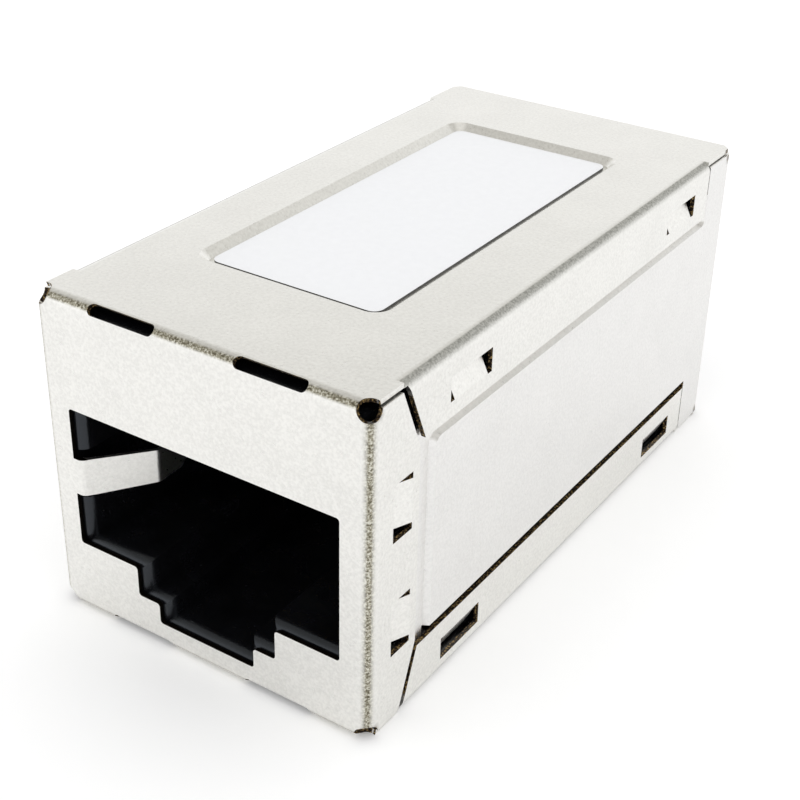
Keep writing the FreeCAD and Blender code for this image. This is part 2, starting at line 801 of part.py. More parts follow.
def tab_nests(body, rail, flap_tabs):
    """Nests in the sides for the lanced tabs that lock the shell to the housing."""
    faces = side_on(body)
    grow = "nest_play"
    places = []
    if flap_tabs:
        for middle in ("flap_tab_low", "flap_tab_high"):
            long = "flap_tab_long / 2"
            places.append(
                (
                    depth("flap_tab_hinge - flap_tab_wide"),
                    depth("flap_tab_hinge"),
                    f"{middle} - {long}",
                    f"{middle} + {long}",
                )
            )
    ends = (depth(f"{rail} + rail_tab_long / 2"), depth(f"{rail} - rail_tab_long / 2"))
    top_hinge = "body_height - top_tab_hinge"
    places.append((*ends, top_hinge, f"{top_hinge} + rail_tab_wide"))
    places.append((*ends, "base_tab_hinge - rail_tab_wide", "base_tab_hinge"))
    for y0, y1, z0, z1 in places:
        outline(
            faces,
            box_corners(
                f"{y0} - {grow}", f"{y1} + {grow}", f"{z0} - {grow}", f"{z1} + {grow}"
            ),
        )
    for sign in (1, -1):
        if sign < 0:
            faces = doc.copyObject(faces)
            body.addObject(faces)
        bind(faces, "AttachmentOffset.Base.z", f"{sign} * {INSIDE}")
        pocket(body, faces, "nest_deep", backwards=sign < 0)


def housing(name, rail, flap_tabs):
    """A moulded jack housing, drawn at the front: stepped port, lead-in, contact bay."""
    body = new_body(name)
    mouth, back = depth("gauge + fit"), depth("gauge + fit + jack_depth")
    top = "body_height - recess_deep - gauge - fit"
    block = upright(body, mouth)
    outline(block, box_corners(f"-{INSIDE}", INSIDE, "gauge + fit", top))
    pad(body, block, "jack_depth", backwards=True)
    side_x, front_y = number(INSIDE), number(mouth)

    def outer(edge):
        middle = edge.CenterOfMass
        side = runs(edge, "z") and close(abs(middle.x), side_x)
        return side or (runs(edge, "x") and close(middle.y, front_y))

    fillet(body, "bend", outer)
    port = upright(body, mouth)
    outline(port, port_corners("mouth_side", "mouth_floor"))
    pocket(body, port, "2 * jack_depth", both_ways=True)
    reach = number("port_width / 2")
    high, low = number("port_top") + 1e-3, number("latch_narrow_floor")

    def rim(edge):
        middle = edge.CenterOfMass
        inside = abs(middle.x) < reach and low < middle.z < high
        return close(middle.y, front_y) and inside

    fillet(body, "lead_in", rim)
    wall = "(port_width / 2 - mouth_side)"
    room = upright(body, mouth)
    outline(
        room,
        box_corners(
            f"-{wall} - finger_back",
            f"-{wall} + finger_back",
            "finger_middle - finger_room / 2",
            "finger_middle + finger_room / 2",
        ),
    )
    pocket(body, room, "finger_space")
    bay = upright(body, depth("bay_front"))
    outline(
        bay, box_corners("-bay_width / 2", "bay_width / 2", "port_top - bend", "bay_top")
    )
    pocket(body, bay, "2 * jack_depth")
    tab_nests(body, rail, flap_tabs)
    return body


# ---------------------------------------------------------------- contact blocks


def block_front():
    return "gauge + 2 * fit + jack_depth"


def contact_block(name):
    """The insert that holds one row of contacts: back wall, arm in the bay, and comb."""
    body = new_body(name)
    wall_front = depth(block_front())
    wall_back = f"-(board_thick / 2 + fit)"
    wide = f"({INSIDE} - block_aside)"
    wall = upright(body, wall_front)
    outline(
        wall, box_corners(f"-{wide}", wide, "gauge + fit", "bay_top - fit"), "bend"
    )
    pad(body, wall, f"{wall_back} - ({wall_front})", backwards=True)
    arm = upright(body, depth("bay_front + fit"))
    aside = "(bay_width / 2 - fit)"
    outline(arm, box_corners(f"-{aside}", aside, "arm_under", "bay_top - fit"))
    pad(body, arm, f"{wall_front} + gauge - ({depth('bay_front + fit')})", backwards=True)
    comb = upright(body, f"{wall_front} - comb_reach")
    rib = "(pitch - comb_slot)"
    first = "-4 * pitch"
    outline(
        comb,
        box_corners(
            f"{first} - {rib} / 2", f"{first} + {rib} / 2", "comb_low", "comb_top"
        ),
    )
    ribs = pad(body, comb, "comb_reach + gauge", backwards=True)
    spread(body, ribs, "pitch", CONTACTS + 1)
    lane = side_on(body, "-3.5 * pitch")
    riser_y = "-(board_thick / 2 + riser)"
    outline(
        lane,
        [
            (f"{riser_y} - wire_thick", "tail_low - wire_thick"),
            (f"{wall_back} + gauge", "tail_low - wire_thick"),
            (f"{wall_back} + gauge", "arm_under"),
            (f"{wall_front} - gauge", "arm_under"),
            (f"{wall_front} - gauge", "arm_under - 2 * wire_thick"),
            (f"{riser_y} - wire_thick", "arm_under - 2 * wire_thick"),
        ],
    )
    lanes = pocket(body, lane, "comb_slot", both_ways=True)
    spread(body, lanes, "pitch", CONTACTS)
    solder = upright(body, wall_back)
    outline(
        solder,
        box_corners("-4 * pitch", "4 * pitch", "tail_low - board_hole", "arm_under"),
    )
    pocket(body, solder, "riser - wire_thick", backwards=True)
    return body


# ---------------------------------------------------------------- contacts


def contact(name, aside, tail):
    """One sprung contact: tail in the board, riser, run under the arm, and sloped leg."""
    body = new_body(name)
    run = "(arm_under - wire_thick / 2)"
    riser_y = "-(board_thick / 2 + riser)"
    knee_y, knee_z = depth("wire_front"), f"({run} - wire_drop)"
    centre = [
        ("board_thick / 2 + tail_proud", tail),
        (riser_y, tail),
        (riser_y, run),
        (knee_y, run),
        (knee_y, knee_z),
        (
            f"{knee_y} + wire_leg * cos(wire_angle)",
            f"{knee_z} - wire_leg * sin(wire_angle)",
        ),
    ]
    corners, knees = ribbon(centre, "wire_thick")
    side = side_on(body)
    outline(side, corners)
    pad(body, side, "wire_wide", both_ways=True)
    round_knees(body, "yz", knees, "wire_bend", "wire_thick")
    bind(body, "Placement.Base.x", aside)
    return body


# ---------------------------------------------------------------- circuit board


def circuit_board():
    """The upright board between the two blocks, with two rows of plated holes."""
    body = new_body("circuit_board")
    plate = upright(body, "0")
    wide = f"({INSIDE} - board_play)"
    outline(
        plate,
        box_corners(
            f"-{wide}", wide, "gauge + fit + board_play", "bay_top + board_play"
        ),
        "bend",
    )
    pad(body, plate, "board_thick", both_ways=True)
    holes = upright(body, "0")
    for z in ("tail_low", "tail_high"):
        disc(holes, "-3.5 * pitch", z, "board_hole / 2")
    drilled = pocket(body, holes, "2 * board_thick", both_ways=True)
    spread(body, drilled, "pitch", CONTACTS)
    return body


SUBPARTS = [front_shell(), rear_shell(), label(), circuit_board()]
for end, rail, flap_tabs in (
    ("front", "rail_tab_front", True),
    ("rear", "rail_tab_rear", False),
):
    half = [
        housing(f"{end}_housing", rail, flap_tabs),
        contact_block(f"{end}_contact_block"),
    ]
    away = 1 if end == "front" else -1
    for place in range(1, CONTACTS + 1):
        aside = f"{away} * ({place} - ({CONTACTS} + 1) / 2) * pitch"
        tail = "tail_high" if place % 2 else "tail_low"
        half.append(contact(f"{end}_contact_{place}", aside, tail))
    if end == "rear":
        for body in half:
            turn_to_rear(body)
    SUBPARTS += half

doc.recompute()
for thing in doc.Objects:
    if {"Invalid", "Error"} & set(thing.State):
        raise ValueError(f"{thing.Label} failed: {thing.State}")
for body in SUBPARTS:
    if body.Shape.isNull() or not body.Shape.isValid():
        raise ValueError(f"{body.Label} has no valid shape")
os.makedirs("parts", exist_ok=True)
for body in SUBPARTS:
    body.Shape.exportStep(f"parts/{body.Label}.step")
    print(body.Label, len(body.Shape.Solids), round(body.Shape.Volume, 3))
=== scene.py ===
# %% [markdown]
# # A shielded in-line coupler, dressed for its picture
#
# The real object joins two network cables end to end. Two folded sheet shells, plated with
# satin nickel, close round two black moulded jack housings that stand back to back on one
# small circuit board. The engineering model already has these shapes, so this lesson leaves
# them alone. It adds what that model can't hold: the grain of the plating, the stretched
# metal in the folds, the sheen of the plastic, the solder on the board, and the light, with
# shade painted on the folds, the port rims and the label's edge.
#
# First the imported model is loaded as a fixed frame. Everything below is in metres, in the
# same frame: X across the port, Y from the front port to the rear one, and Z up.

# %% Load the frame
import math

import bpy
from mathutils import Matrix, Vector


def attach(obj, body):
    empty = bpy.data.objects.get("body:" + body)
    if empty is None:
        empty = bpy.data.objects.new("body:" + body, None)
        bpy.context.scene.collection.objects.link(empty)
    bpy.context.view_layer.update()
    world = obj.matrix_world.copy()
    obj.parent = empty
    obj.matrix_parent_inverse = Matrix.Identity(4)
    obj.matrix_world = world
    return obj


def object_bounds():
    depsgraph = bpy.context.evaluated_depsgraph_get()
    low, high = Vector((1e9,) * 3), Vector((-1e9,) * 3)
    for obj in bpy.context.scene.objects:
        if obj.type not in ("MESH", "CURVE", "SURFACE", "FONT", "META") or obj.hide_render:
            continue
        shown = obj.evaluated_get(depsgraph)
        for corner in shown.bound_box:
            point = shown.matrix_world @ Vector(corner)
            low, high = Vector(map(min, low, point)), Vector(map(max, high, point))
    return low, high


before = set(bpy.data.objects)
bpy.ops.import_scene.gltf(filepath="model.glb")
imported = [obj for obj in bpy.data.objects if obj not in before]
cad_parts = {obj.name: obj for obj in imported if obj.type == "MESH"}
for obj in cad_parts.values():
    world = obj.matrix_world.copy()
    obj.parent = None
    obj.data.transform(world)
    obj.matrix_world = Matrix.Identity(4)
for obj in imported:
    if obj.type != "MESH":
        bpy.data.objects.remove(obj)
cad_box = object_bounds()
MM = 0.001
low, high = (Vector(corner) for corner in cad_box)
size = high - low
print("nodes:", len(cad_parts), "size in mm:", [round(v / MM, 2) for v in size])

# %% [markdown]
# ## Two small helpers
#
# Every finish below is a little tree of shader nodes. Two helpers keep the trees short
# enough to read. `shade` turns a colour as designers write it, six hex digits in sRGB, into
# the linear numbers that the renderer adds and multiplies. `put` adds one node, sets its
# values, and links its inputs, so that one line of Python is one node of the tree.

# %% Colour and node helpers
def shade(hex_digits):
    """An sRGB colour such as "EDECE8" as linear RGBA."""
    channels = [int(hex_digits[i : i + 2], 16) / 255 for i in (0, 2, 4)]
    linear = [c / 12.92 if c <= 0.04045 else ((c + 0.055) / 1.055) ** 2.4 for c in channels]
    return (*linear, 1.0)


def put(tree, kind, values=None, links=None, **settings):
    """Add a node: settings are its own properties, values and links are its inputs."""
    node = tree.nodes.new(kind)
    for name, value in settings.items():
        setattr(node, name, value)
    for name, value in (values or {}).items():
        node.inputs[name].default_value = value
    for name, source in (links or {}).items():
        tree.links.new(source, node.inputs[name])
    return node


def new_finish(name):
    """A material with an empty tree and its output node."""
    finish = bpy.data.materials.new(name)
    finish.use_nodes = True
    finish.node_tree.nodes.clear()
    output = put(finish.node_tree, "ShaderNodeOutputMaterial")
    return finish, finish.node_tree, output


def ramp(tree, source, stops):
    """A colour ramp fed by a value: stops are (position, colour) pairs."""
    node = put(tree, "ShaderNodeValToRGB", links={"Fac": source})
    bar = node.color_ramp.elements
    while len(bar) < len(stops):
        bar.new(0.5)
    for element, (position, colour) in zip(bar, stops):
        element.position = position
        element.color = colour
    return node.outputs["Color"]


print("white in linear light:", shade("FFFFFF")[:3])

# %% [markdown]
# ## Satin nickel plate
#
# The shells are cut from thin sheet, plated, and then folded. On the flats the plate is pale,
# warm and satin, with a very fine pebbled grain that only shows up close. Four places look
# different, and each gets a mask, a value that is 1 there and 0 elsewhere:
#
# * the short folds round the front face, bent sharply, where the plating turns into a
#   speckled olive grey: the speckle is the stretched plate, the darker grey is painted shade;
# * the long folds down the sides, bent more gently, which are a drier grey, painted darker
#   as the shade across the bend;
# * the raw cut edges of the sheet, where the dark brown of the steel and a little of the
#   copper under the nickel show;
# * the rims of the two ports, cut edges too, painted near black all over as shade from the
#   dark port they face.
#
# On a flat wall the surface looks straight along one axis of the object, and on a fold it
# looks between two axes. So the largest of the three parts of the surface's direction is 1 on
# every flat and drops towards 0.7 in the middle of a fold. Pressed tabs and the slopes round
# the label lean too, but they are no folds, so a second test asks whether the point is close
# to two outer faces at once. A cut edge is found the other way round: the point lies within
# the sheet's thickness of an outer face, yet the surface doesn't look the way that face does.
# Edges that look down keep the plain plate. The wall of the round hole where three folds meet
# is the one surface there that leans along all three axes.

# %% Where the sheet is stretched
# How far in from an outer face a mask ends, and from where outwards it is full, in millimetres.
FOLD = (0.75, 0.45)
SKIN = (0.27, 0.24)
HOLE = (1.4, 1.1)


def sums(tree, operation, first, second=0.0):
    """One Math node on one or two values: each is a number or the output of a node."""
    node = put(tree, "ShaderNodeMath", operation=operation)
    for socket, value in zip(node.inputs, (first, second)):
        if isinstance(value, (int, float)):
            socket.default_value = value
        else:
            tree.links.new(value, socket)
    return node.outputs[0]


def fade(tree, value, start, stop, least=0.0, most=1.0):
    """A value brought from the range start..stop to least..most, and held there."""
    node = put(
        tree,
        "ShaderNodeMapRange",
        values={"From Min": start, "From Max": stop, "To Min": least, "To Max": most},
        links={"Value": value},
    )
    return node.outputs["Result"]


def near_faces(tree, point, depth):
    """For each axis, 1 close to the outer faces across it and 0 further in than the depth."""
    end, full = depth
    masks = {}
    for axis, middle in (("X", 0.0), ("Y", 0.0), ("Z", size.z / 2)):
        face = getattr(size, axis.lower()) / 2
        aside = sums(tree, "ABSOLUTE", sums(tree, "SUBTRACT", point.outputs[axis], middle))
        masks[axis] = fade(tree, aside, face - end * MM, face - full * MM)
    return masks


def product(tree, *values):
    """All the values multiplied."""
    total = values[0]
    for value in values[1:]:
        total = sums(tree, "MULTIPLY", total, value)
    return total


def sheet_masks(tree, place):
    """Masks of the short folds, the long folds, the raw cut edges and the rims of the ports."""
    facing = put(tree, "ShaderNodeSeparateXYZ", links={0: place.outputs["Normal"]})
    point = put(tree, "ShaderNodeSeparateXYZ", links={0: place.outputs["Object"]})
    turned = {axis: sums(tree, "ABSOLUTE", facing.outputs[axis]) for axis in "XYZ"}
    most = sums(tree, "MAXIMUM", sums(tree, "MAXIMUM", turned["X"], turned["Y"]), turned["Z"])
    least = sums(tree, "MINIMUM", sums(tree, "MINIMUM", turned["X"], turned["Y"]), turned["Z"])
    close = near_faces(tree, point, FOLD)
    skin = near_faces(tree, point, SKIN)
    hole = near_faces(tree, point, HOLE)

    # folds: leaning, and close to the two faces that meet there
    upright = product(tree, fade(tree, most, 0.995, 0.80), close["X"], close["Y"])
    across_top = product(tree, fade(tree, most, 0.93, 0.82), close["Y"], close["Z"])
    short_fold = sums(tree, "MAXIMUM", upright, across_top)
    bent = product(tree, fade(tree, turned["Z"], 0.98, 0.94), fade(tree, turned["Z"], 0.35, 0.75))
    long_fold = product(tree, bent, close["X"], close["Z"])

    # cut metal at a corner, and the wall of the round hole in it
    leaning = product(tree, *close.values(), fade(tree, most, 0.99, 0.93))
    round_hole = product(tree, fade(tree, least, 0.02, 0.10), *hole.values())
    cut = sums(tree, "MAXIMUM", leaning, round_hole)

    # edges of the sheet, in the skin of one face and away from the others
    plated = fade(tree, facing.outputs["Z"], -0.9, -0.6)
    edges = {}
    for axis, others in (("X", "YZ"), ("Y", "XZ"), ("Z", "XY")):
        away = [sums(tree, "SUBTRACT", 1.0, close[other]) for other in others]
        across = fade(tree, turned[axis], 0.35, 0.2)
        edges[axis] = product(tree, skin[axis], across, plated, *away)
    cut = sums(tree, "MAXIMUM", cut, sums(tree, "MAXIMUM", edges["X"], edges["Z"]))

    # walls and ends of the slots punched through the short folds
    lean = sums(tree, "MULTIPLY", facing.outputs["Y"], facing.outputs["Z"])
    level = sums(tree, "SUBTRACT", point.outputs["Z"], size.z / 2)
    half_high = size.z / 2
    slot_wall = fade(tree, sums(tree, "MULTIPLY", lean, level), 0.15 * half_high, 0.3 * half_high)
    slot_end = fade(tree, turned["X"], 0.3, 0.6)
    punched = product(tree, sums(tree, "MAXIMUM", slot_wall, slot_end), close["Y"], close["Z"])
    return short_fold, long_fold, sums(tree, "MAXIMUM", cut, punched), edges["Y"]


print("fold masks reach", FOLD[0], "mm in from two faces")


# %% The plating
def speckle(tree, place, size_mm, detail=3.0, roughness=0.6):
    """Noise whose grains are about this many millimetres across."""
    noise = put(
        tree,
        "ShaderNodeTexNoise",
        values={"Scale": 1 / (size_mm * MM), "Detail": detail, "Roughness": roughness},
        links={"Vector": place.outputs["Object"]},
    )
    return noise.outputs["Fac"]


def blend(tree, factor, first, second):
    """A mix of two colours: factor 0 gives the first and 1 the second."""
    node = put(
        tree,
        "ShaderNodeMix",
        data_type="RGBA",
        links={"Factor": factor, "A": first, "B": second},
    )
    return node.outputs["Result"]


def nickel(name, pale, dull):
    """Satin plate: pale and dull are the two ends of its tone on the flats."""
    finish, tree, output = new_finish(name)
    place = put(tree, "ShaderNodeTexCoord")
    short_fold, long_fold, cut, port_rim = sheet_masks(tree, place)
    pebble = speckle(tree, place, 0.14)
    cloud = speckle(tree, place, 2.6, 5.0)
    pits = speckle(tree, place, 0.10, 2.5, 0.7)
    tone = sums(
        tree,
        "ADD",
        fade(tree, cloud, 0.25, 0.75, 0.0, 0.35),
        fade(tree, pebble, 0.36, 0.64, 0.0, 0.65),
    )
    flat = ramp(tree, tone, [(0.1, shade(dull)), (0.85, shade(pale))])
    # painted shade: the long folds are coloured a darker grey for the shade across the bend
    drawn = ramp(tree, pits, [(0.35, shade("9C9C97")), (0.62, shade("CBCBC6"))])
    # painted shade over real grain: the short folds get a speckled olive grey; the speckle is the
    # stretched plate, the darker tone is the shade across the bend
    stretched_and_shaded = ramp(
        tree,
        pits,
        [(0.37, shade("5E5849")), (0.50, shade("A29D8B")), (0.62, shade("DCDACF"))],
    )
    raw = ramp(
        tree,
        pits,
        [(0.44, shade("1C1612")), (0.54, shade("42362A")), (0.62, shade("B79B66"))],
    )
    # painted shade: the port rims are coloured near black for the dark port they face
    port_rim_shade = ramp(tree, pits, [(0.4, shade("17130F")), (0.6, shade("2C2620"))])
    colour = blend(tree, long_fold, flat, drawn)
    colour = blend(tree, short_fold, colour, stretched_and_shaded)
    colour = blend(tree, cut, colour, raw)
    colour = blend(tree, port_rim, colour, port_rim_shade)
    fold = sums(tree, "MAXIMUM", short_fold, long_fold)
    dry = sums(tree, "MAXIMUM", fold, sums(tree, "MAXIMUM", cut, port_rim))
    rough = sums(
        tree,
        "ADD",
        fade(tree, dry, 0.0, 1.0, 0.30, 0.50),
        fade(tree, pebble, 0.3, 0.7, -0.03, 0.05),
    )
    bump = put(
        tree,
        "ShaderNodeBump",
        values={"Distance": 0.02 * MM},
        links={"Height": pebble, "Strength": fade(tree, dry, 0.0, 1.0, 0.35, 0.8)},
    )
    surface = put(
        tree,
        "ShaderNodeBsdfPrincipled",
        links={
            "Base Color": colour,
            "Metallic": fade(tree, cut, 0.0, 1.0, 1.0, 0.2),
            "Specular IOR Level": fade(tree, cut, 0.0, 1.0, 0.5, 0.1),
            "Roughness": rough,
            "Normal": bump.outputs["Normal"],
        },
    )
    tree.links.new(surface.outputs[0], output.inputs["Surface"])
    return finish


nickel_front = nickel("satin nickel plate, front shell", "F5F4F0", "E7E6E2")
nickel_rear = nickel("satin nickel plate, rear shell", "F2F1EF", "E8E7E5")
print("plating:", nickel_front.name, "and", nickel_rear.name)

# %% [markdown]
# ## Black moulded plastic
#
# The jack housings are injection moulded from a black glass-filled plastic. Its skin is
# satin: it mirrors the bright room only as a soft blue-grey bloom on the rounded mouth, while
# the walls inside the port stay nearly black. A very low, cloudy bump keeps long reflections from
# looking like glass. The inserts that carry the contacts are the same stuff, a shade duller.

# %% Plastic finishes
def moulded(name, deep, light, roughness):
    """Moulded plastic: deep and light are the two ends of its black."""
    finish, tree, output = new_finish(name)
    place = put(tree, "ShaderNodeTexCoord")
    flow = speckle(tree, place, 2.4, 5.0)
    skin = speckle(tree, place, 0.15, 2.0)
    bump = put(
        tree,
        "ShaderNodeBump",
        values={"Distance": 0.02 * MM, "Strength": 0.25},
        links={"Height": skin},
    )
    surface = put(
        tree,
        "ShaderNodeBsdfPrincipled",
        values={"IOR": 1.6, "Specular Tint": shade("DCE5F0")},
        links={
            "Base Color": ramp(tree, flow, [(0.35, shade(deep)), (0.7, shade(light))]),
            "Roughness": fade(tree, flow, 0.3, 0.7, roughness - 0.05, roughness + 0.06),
            "Normal": bump.outputs["Normal"],
        },
    )
    tree.links.new(surface.outputs[0], output.inputs["Surface"])
    return finish


housing_plastic = moulded("black moulded plastic", "09090B", "121316", 0.25)
insert_plastic = moulded("black insert plastic", "090909", "121213", 0.50)
print("plastics:", housing_plastic.name, "and", insert_plastic.name)

# %% [markdown]
# ## Gold on the contacts
#
# Each contact is a strip of spring bronze with a thin gold plate. Gold this thin keeps the
# drawing marks of the strip under it, long fine lines that run with the contact. A noise
# stretched along Y, the way the strips run, gives those lines both a trace of colour and a
# change in roughness.

# %% Contact gold
def drawn_gold(name):
    """Gold plate over drawn strip. The mapping's scales are grains per metre."""
    finish, tree, output = new_finish(name)
    place = put(tree, "ShaderNodeTexCoord")
    along = put(
        tree,
        "ShaderNodeMapping",
        values={"Scale": (9000.0, 500.0, 9000.0)},
        links={"Vector": place.outputs["Object"]},
    )
    lines = put(
        tree,
        "ShaderNodeTexNoise",
        values={"Scale": 1.0, "Detail": 3.0},
        links={"Vector": along.outputs["Vector"]},
    )
    marks = lines.outputs["Fac"]
    bump = put(
        tree,
        "ShaderNodeBump",
        values={"Distance": 0.01 * MM, "Strength": 0.3},
        links={"Height": marks},
    )
    surface = put(
        tree,
        "ShaderNodeBsdfPrincipled",
        values={"Metallic": 1.0},
        links={
            "Base Color": ramp(tree, marks, [(0.3, shade("C79A45")), (0.7, shade("E7C67A"))]),
            "Roughness": fade(tree, marks, 0.0, 1.0, 0.20, 0.38),
            "Normal": bump.outputs["Normal"],
        },
    )
    tree.links.new(surface.outputs[0], output.inputs["Surface"])
    return finish


contact_gold = drawn_gold("thin gold plate")
print("contacts:", contact_gold.name)

# %% [markdown]
# ## Label film
#
# The label is a white plastic film under a clear, slightly orange-peeled laminate. The film
# itself is a cool white; the laminate is a clear coat on top of it. It stays bare, as a part
# of a shared library carries no words. Its cut rim is painted a fine dark line, a painted
# shadow of the gap between the film and the recess round it. The rim is every part of the
# film that doesn't look up.

# %% Film
def film(name):
    """White film with its rim painted dark as shadow."""
    finish, tree, output = new_finish(name)
    place = put(tree, "ShaderNodeTexCoord")
    fibre = speckle(tree, place, 0.4, 4.0)
    peel = speckle(tree, place, 1.4, 1.0)
    white = ramp(tree, fibre, [(0.3, shade("F4F5F7")), (0.7, shade("F7F8FA"))])
    facing = put(tree, "ShaderNodeSeparateXYZ", links={0: place.outputs["Normal"]})
    rim = fade(tree, facing.outputs["Z"], 0.6, 0.3)
    # painted shadow: the rim of the film is coloured dark for the shadow in the gap round it
    edge_shadow = ramp(tree, fibre, [(0.4, shade("2E2D2C")), (0.6, shade("4A4846"))])
    bump = put(
        tree,
        "ShaderNodeBump",
        values={"Distance": 0.02 * MM, "Strength": 0.08},
        links={"Height": peel},
    )
    surface = put(
        tree,
        "ShaderNodeBsdfPrincipled",
        values={"Roughness": 0.42, "Coat Weight": 0.35, "Coat Roughness": 0.12},
        links={
            "Base Color": blend(tree, rim, white, edge_shadow),
            "Normal": bump.outputs["Normal"],
            "Coat Normal": bump.outputs["Normal"],
        },
    )
    tree.links.new(surface.outputs[0], output.inputs["Surface"])
    return finish


label_film = film("white label film")
print("label:", label_film.name)

# %% [markdown]
# ## Circuit board and solder
#
# The board is glass cloth in green resin under a green solder mask. Its weave shows through
# the mask as a faint regular ripple, so two crossed wave textures make the bump. The solder
# is a frosted grey metal.

# %% Board and solder finishes
def laminate(name):
    """Solder mask over glass cloth."""
    finish, tree, output = new_finish(name)
    place = put(tree, "ShaderNodeTexCoord")
    weaves = []
    for direction in ("X", "Z"):
        wave = put(
            tree,
            "ShaderNodeTexWave",
            values={"Scale": 900.0, "Distortion": 0.6, "Detail": 1.0},
            bands_direction=direction,
            links={"Vector": place.outputs["Object"]},
        )
        weaves.append(wave.outputs["Fac"])
    weave = sums(tree, "MULTIPLY", *weaves)
    colour = ramp(tree, weave, [(0.0, shade("0F4A26")), (1.0, shade("1B6637"))])
    bump = put(
        tree,
        "ShaderNodeBump",
        values={"Distance": 0.01 * MM, "Strength": 0.2},
        links={"Height": weave},
    )
    surface = put(
        tree,
        "ShaderNodeBsdfPrincipled",
        values={"Roughness": 0.34},
        links={"Base Color": colour, "Normal": bump.outputs["Normal"]},
    )
    tree.links.new(surface.outputs[0], output.inputs["Surface"])
    return finish


def solder(name):
    """Tin solder, frosted where it set."""
    finish, tree, output = new_finish(name)
    place = put(tree, "ShaderNodeTexCoord")
    frost = speckle(tree, place, 0.2, roughness=0.5)
    surface = put(
        tree,
        "ShaderNodeBsdfPrincipled",
        values={"Metallic": 1.0},
        links={
            "Base Color": ramp(tree, frost, [(0.3, shade("A9ABAB")), (0.7, shade("D3D5D6"))]),
            "Roughness": fade(tree, frost, 0.0, 1.0, 0.22, 0.42),
        },
    )
    tree.links.new(surface.outputs[0], output.inputs["Surface"])
    return finish


board_laminate = laminate("green glass-cloth board")
tin_solder = solder("tin solder")
print("board:", board_laminate.name, "and", tin_solder.name)

# %% [markdown]
# ## Give each piece its finish
#
# A node of the engineering model is a Blender object that already has a material slot for its
# finish. Only the material in that slot changes.

# %% Assign the finishes
FINISHES = {
    "front_shell": nickel_front,
    "rear_shell": nickel_rear,
    "label": label_film,
    "circuit_board": board_laminate,
    "front_housing": housing_plastic,
    "rear_housing": housing_plastic,
    "front_contact_block": insert_plastic,
    "rear_contact_block": insert_plastic,
}
for node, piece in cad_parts.items():
    finish = FINISHES.get(node, contact_gold)
    if not piece.material_slots:
        piece.data.materials.append(finish)
    for slot in piece.material_slots:
        slot.material = finish
print("dressed:", len(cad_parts), "nodes")

# %% [markdown]
# ## Solder on the board, by Geometry Nodes
#
# Sixteen contact tails pass through the board, and each ends in a small cone of solder. The
# sixteen are one thing repeated, so a Geometry Nodes tree makes them. It reads:
#
# 1. a line of eight points at the contacts' pitch, every second one dropped to the lower row;
# 2. one cone at each point, its waist drawn in, as molten solder creeps up a pin;
# 3. the whole row turned half round for the other jack, whose tails come the other way.
#
# The tree's inputs carry names and real sizes, and the modifier's own fields are set by the
# identifiers of those inputs. The result is read back as a plain mesh.

# %% Solder cones
def group_input(tree, name, kind, value):
    """A named input of a Geometry Nodes tree, with its starting value."""
    socket = tree.interface.new_socket(name, in_out="INPUT", socket_type=kind)
    socket.default_value = value
    return socket


def solder_tree():
    """An empty tree with its named inputs."""
    tree = bpy.data.node_groups.new("solder cones", "GeometryNodeTree")
    tree.interface.new_socket("Geometry", in_out="OUTPUT", socket_type="NodeSocketGeometry")
    for name, value in (
        ("Pitch", 1.016 * MM),
        ("Upper Row", 9.9 * MM),
        ("Row Drop", 2.3 * MM),
        ("Face", 0.8 * MM),
        ("Foot", 0.60 * MM),
        ("Tip", 0.30 * MM),
        ("Height", 0.45 * MM),
        ("Waist", 0.30),
    ):
        group_input(tree, name, "NodeSocketFloat", value)
    group_input(tree, "Contacts", "NodeSocketInt", 8)
    group_input(tree, "Seed", "NodeSocketInt", 3)
    group_input(tree, "Finish", "NodeSocketMaterial", None)
    return tree


